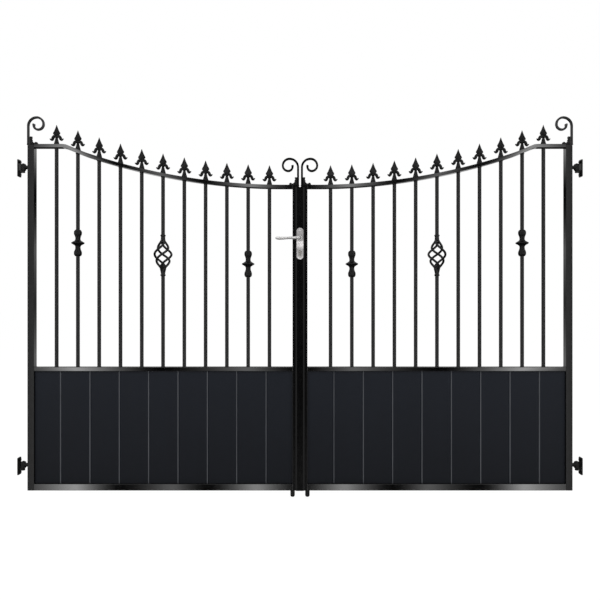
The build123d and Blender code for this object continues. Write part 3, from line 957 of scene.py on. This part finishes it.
# X, depth from the plate's face, half height and half thickness
LEVER_STATIONS = [
    (0.0, -11.0, 6.5, 6.5),
    (0.0, -20.0, 6.4, 6.4),
    (0.0, -28.0, 6.4, 6.4),
    (-1.2, -35.0, 6.4, 6.5),
    (-5.5, -40.0, 6.4, 6.6),
    (-12.0, -42.0, 6.4, 6.6),
    (-22.0, -42.6, 6.3, 6.6),
    (-35.0, -42.6, 6.0, 6.9),
    (-50.0, -42.2, 5.6, 7.4),
    (-66.0, -42.0, 5.6, 8.0),
    (-83.0, -42.0, 6.2, 8.4),
    (-98.0, -42.0, 6.7, 8.0),
    (-109.0, -42.0, 6.0, 6.8),
    (-115.0, -42.0, 4.4, 5.2),
    (-118.0, -42.0, 1.8, 2.4),
]
LEVER_FULLNESS = 1.08
LEVER_DROOP = 3.6
LEVER_WAVE = 0.9
LEVER_SIDES = 28


def lever_sag(x):
    """How the grip's centre line drops from the hub and then waves a little."""
    along = min(max(-x - 20.0, 0.0) / 95.0, 1.0)
    droop = LEVER_DROOP * smooth_step((-x - 4.0) / 34.0)
    return LEVER_WAVE * math.sin(math.pi * along * 2.0) - droop


def lever():
    form = Form()
    form.lathe(HUB, LEVER_HUB, 40, "Y")
    line = smooth_curve(LEVER_STATIONS, 5)
    points = [Vector((x, PLATE_FRONT + depth, 0.0)) for x, depth, _, _ in line]
    rings = []
    for i, (x, _, tall, thick) in enumerate(line):
        ahead = (points[min(i + 1, len(points) - 1)] - points[max(i - 1, 0)]).normalized()
        across = Vector((-ahead.y, ahead.x, 0.0))
        height = HANDLE_HEIGHT + lever_sag(x)
        ring = []
        for k in range(LEVER_SIDES):
            a = 2 * math.pi * k / LEVER_SIDES
            p = points[i] + across * thick * math.cos(a)
            ring.append((p.x, p.y, height + LEVER_FULLNESS * tall * math.sin(a)))
        rings.append(ring)
    form.skin(rings)
    form.lathe(HUB, SPINDLE, 20, "Y")
    form.finish(
        "lever_handle_cast", satin_steel, "lever", ["lever_handle"], slot="satin_steel", smooth=40
    )


lever()

PLATE_SCREWS = (HANDLE_HEIGHT + 37.0, HANDLE_HEIGHT - 90.0)
SCREW_DOME = [(4.6, 0.3), (4.6, -0.4), (4.0, -1.2), (2.6, -1.8), (1.2, -2.0)]
SLOT_FRONT, SLOT_BACK = PLATE_FRONT - 2.15, PLATE_FRONT - 1.0
SLOT_REACH, SLOT_HALF, SLOT_TURN = 3.0, 0.45, 0.3
SPINDLE_RIM = [(12.6, 0.3), (12.6, -0.9), (11.8, -1.6), (10.4, -1.6), (9.9, -0.9), (9.9, 0.3)]


def plate_screws():
    form = Form()
    for z in PLATE_SCREWS:
        form.lathe((0, PLATE_FRONT, z), SCREW_DOME, 28, "Y")
        # The cross slot, as two thin bars
        for turn in (SLOT_TURN, SLOT_TURN + math.pi / 2):
            c, s = math.cos(turn), math.sin(turn)
            corners = [(-SLOT_REACH, -SLOT_HALF), (SLOT_REACH, -SLOT_HALF)]
            corners += [(SLOT_REACH, SLOT_HALF), (-SLOT_REACH, SLOT_HALF)]
            outline = [(c * u - s * v, z + s * u + c * v) for u, v in corners]
            form.plate(outline, SLOT_FRONT, SLOT_BACK)
    form.lathe(HUB, SPINDLE_RIM, 48, "Y", caps=False)
    form.finish("handle_plate_screws", satin_steel, "left_leaf", slot="satin_steel", smooth=35)


plate_screws()


# Floor, world, lamps and camera

FLOOR_HALF = 30.0
FLOOR_GAP = 0.0005
FLOOR_WHITE = 0.88
FLOOR_GLOW = 1.08


def floor():
    """White to the camera, with a faint shadow left, and unseen by glossy rays."""
    data = bpy.data.meshes.new("floor")
    centre = at(0, 0, 0)
    corners = [(-FLOOR_HALF, -FLOOR_HALF), (FLOOR_HALF, -FLOOR_HALF)]
    corners += [(FLOOR_HALF, FLOOR_HALF), (-FLOOR_HALF, FLOOR_HALF)]
    verts = [(centre.x + x, centre.y + y, cad_low.z - FLOOR_GAP) for x, y in corners]
    data.from_pydata(verts, [], [(0, 1, 2, 3)])
    obj = bpy.data.objects.new("floor", data)
    bpy.context.scene.collection.objects.link(obj)
    material = bpy.data.materials.new("pale_floor")
    material.use_nodes = True
    tree = material.node_tree
    tree.nodes.clear()
    output = tree.nodes.new("ShaderNodeOutputMaterial")
    path = tree.nodes.new("ShaderNodeLightPath")
    camera_ray, glossy_ray = path.outputs["Is Camera Ray"], path.outputs["Is Glossy Ray"]
    seen = math_node(tree, "MAXIMUM", camera_ray, glossy_ray)
    seen = math_node(tree, "MAXIMUM", seen, path.outputs["Is Transmission Ray"])
    share = math_node(tree, "MULTIPLY", seen, FLOOR_WHITE)
    diffuse = tree.nodes.new("ShaderNodeBsdfDiffuse")
    diffuse.inputs["Color"].default_value = (0.9, 0.9, 0.9, 1.0)
    glow = tree.nodes.new("ShaderNodeEmission")
    glow.inputs["Strength"].default_value = FLOOR_GLOW
    surface = mix_shaders(tree, share, diffuse.outputs[0], glow.outputs[0])
    tree.links.new(surface, output.inputs[0])
    data.materials.append(material)
    obj.visible_glossy = False


floor()

# The strips and bands hold screen tones, and this power of a tone is its light
SCREEN_POWER = 2.2
# The share of light that the gloss paint returns when seen square on
GLOSS_SHEEN = 0.0816
# Light and dark strips ahead of the gate, as its rails show them, at three heights. A stop's
# place is half the tangent of the angle from straight ahead
LOW_STRIPS = [
    (0.0, 0.02),
    (0.038, 0.52),
    (0.08, 0.0),
    (0.111, 0.35),
    (0.158, 0.0),
    (0.195, 0.58),
    (0.2346, 0.24),
    (0.5, 0.2),
]
MIDDLE_STRIPS = [
    (0.0, 0.0),
    (0.0461, 0.36),
    (0.122, 0.0),
    (0.195, 0.58),
    (0.2346, 0.24),
    (0.5, 0.2),
]
HIGH_STRIPS = [
    (0.0, 0.02),
    (0.018, 0.18),
    (0.042, 0.5),
    (0.084, 0.02),
    (0.121, 0.36),
    (0.16, 0.0),
    (0.2, 0.56),
    (0.2346, 0.24),
    (0.5, 0.2),
]
# Tangents of the rise between which one height's strips turn into the next one's
LOW_TO_MIDDLE = (-0.28, -0.2)
MIDDLE_TO_HIGH = (0.1, 0.17)
# Beyond 45 degrees: one broad soft panel at each side, then dark to the leaf's own plane. A
# stop's place is the angle from straight ahead as a share of 180 degrees
STRIPS_END = 0.25
PANEL_LIGHT = 2.0
SIDE_PANELS = [
    (0.0, 0.0),
    (0.25, 0.15),
    (0.3, 0.5),
    (0.36, 0.8),
    (0.41, 0.4),
    (0.46, 0.08),
    (0.52, 0.08),
    (0.6, 0.2),
    (0.78, 0.2),
    (0.84, 0.5),
    (0.9, 0.5),
    (1.0, 0.3),
]
# Darker below, where the floor lies in the gate's own shade
GROUND_START, GROUND_END, GROUND_SHADE = -0.55, -0.36, 0.2
# Behind the gate the light lies in level bands, from half a unit below the horizon to half above
BAND_LIGHT = 2.8
BACK_BANDS = [
    (0.0, 0.1),
    (0.24, 0.1),
    (0.33, 0.12),
    (0.36, 0.5),
    (0.407, 0.62),
    (0.494, 0.27),
    (0.58, 0.55),
    (0.665, 0.02),
    (0.73, 0.75),
    (0.8, 0.6),
    (1.0, 0.5),
]

# What rays that are neither the camera's nor glossy see all round
EVEN_LIGHT = 0.45


def strips_ahead(tree, aside, ahead, z):
    front = math_node(tree, "MAXIMUM", ahead, 0.001)
    place = math_node(tree, "MULTIPLY", math_node(tree, "DIVIDE", aside, front), 0.5)
    rise = math_node(tree, "DIVIDE", z, front)
    low, middle, high = (ramp(tree, place, s) for s in (LOW_STRIPS, MIDDLE_STRIPS, HIGH_STRIPS))
    lower = mix(tree, share_between(tree, rise, *LOW_TO_MIDDLE), low, middle)
    tones = mix(tree, share_between(tree, rise, *MIDDLE_TO_HIGH), lower, high)
    light = math_node(tree, "POWER", tones, SCREEN_POWER)
    return math_node(tree, "MULTIPLY", light, 1.0 / GLOSS_SHEEN)


def room_light(tree, x, y, z):
    """Light that glossy rays see, by direction."""
    aside = math_node(tree, "ABSOLUTE", x)
    ahead = math_node(tree, "MULTIPLY", y, -1.0)
    strips = strips_ahead(tree, aside, ahead, z)
    angle = math_node(tree, "DIVIDE", math_node(tree, "ARCTAN2", aside, ahead), math.pi)
    panels = math_node(tree, "MULTIPLY", ramp(tree, angle, SIDE_PANELS), PANEL_LIGHT)
    is_side = math_node(tree, "GREATER_THAN", angle, STRIPS_END)
    around = mix(tree, is_side, strips, panels, kind="FLOAT")
    ground = share_between(tree, z, GROUND_START, GROUND_END, GROUND_SHADE)
    bands = ramp(tree, math_node(tree, "ADD", z, 0.5), BACK_BANDS)
    bands = math_node(tree, "POWER", bands, SCREEN_POWER)
    bands = math_node(tree, "MULTIPLY", bands, BAND_LIGHT)
    is_behind = math_node(tree, "GREATER_THAN", y, 0.0)
    by_height = mix(tree, is_behind, ground, bands, kind="FLOAT")
    return math_node(tree, "MULTIPLY", around, by_height)


def background(tree, strength):
    made = tree.nodes.new("ShaderNodeBackground")
    made.inputs["Color"].default_value = (1.0, 1.0, 1.0, 1.0)
    feed(tree, made.inputs["Strength"], strength)
    return made.outputs[0]


def studio_world():
    """White to the camera, a studio of strips to glossy rays, and an even light to the rest."""
    world = bpy.data.worlds.new("studio")
    bpy.context.scene.world = world
    world.use_nodes = True
    world.cycles.sampling_method = "NONE"
    tree = world.node_tree
    tree.nodes.clear()
    output = tree.nodes.new("ShaderNodeOutputWorld")
    path = tree.nodes.new("ShaderNodeLightPath").outputs
    coordinates = tree.nodes.new("ShaderNodeTexCoord")
    room = background(tree, room_light(tree, *split(tree, coordinates.outputs["Generated"])))
    unseen = mix_shaders(tree, path["Is Glossy Ray"], background(tree, EVEN_LIGHT), room)
    seen = math_node(tree, "MAXIMUM", path["Is Camera Ray"], path["Is Transmission Ray"])
    tree.links.new(mix_shaders(tree, seen, unseen, background(tree, 1.0)), output.inputs[0])


studio_world()


def lamp(name, place, target, width, height, power):
    data = bpy.data.lights.new(name, "AREA")
    data.shape = "RECTANGLE"
    data.size, data.size_y = width, height
    data.energy = power
    obj = bpy.data.objects.new(name, data)
    bpy.context.scene.collection.objects.link(obj)
    obj.location = place
    obj.rotation_euler = (target - place).to_track_quat("-Z", "Y").to_euler()
    obj.visible_glossy = False


centre = at(0, 0, 900)
lamp("key", centre + Vector((-2.2, -3.6, 3.0)), centre, 3.0, 3.0, 90.0)
lamp("fill", centre + Vector((3.2, -3.4, 1.6)), centre, 3.0, 3.0, 60.0)
lamp("top", centre + Vector((0.0, 0.6, 3.8)), centre, 4.0, 2.0, 60.0)

CAMERA_DISTANCE = 2805
CAMERA_HEIGHT = 930.8

camera_data = bpy.data.cameras.new("camera")
camera_data.sensor_width = 36.0
camera_data.lens = 34.467
camera_data.clip_end = 200.0
camera = bpy.data.objects.new("camera", camera_data)
bpy.context.scene.collection.objects.link(camera)
camera.location = at(0, -CAMERA_DISTANCE, CAMERA_HEIGHT)
camera.rotation_euler = (math.radians(90), 0, 0)
bpy.context.scene.camera = camera
bpy.context.scene.view_settings.view_transform = "Standard"
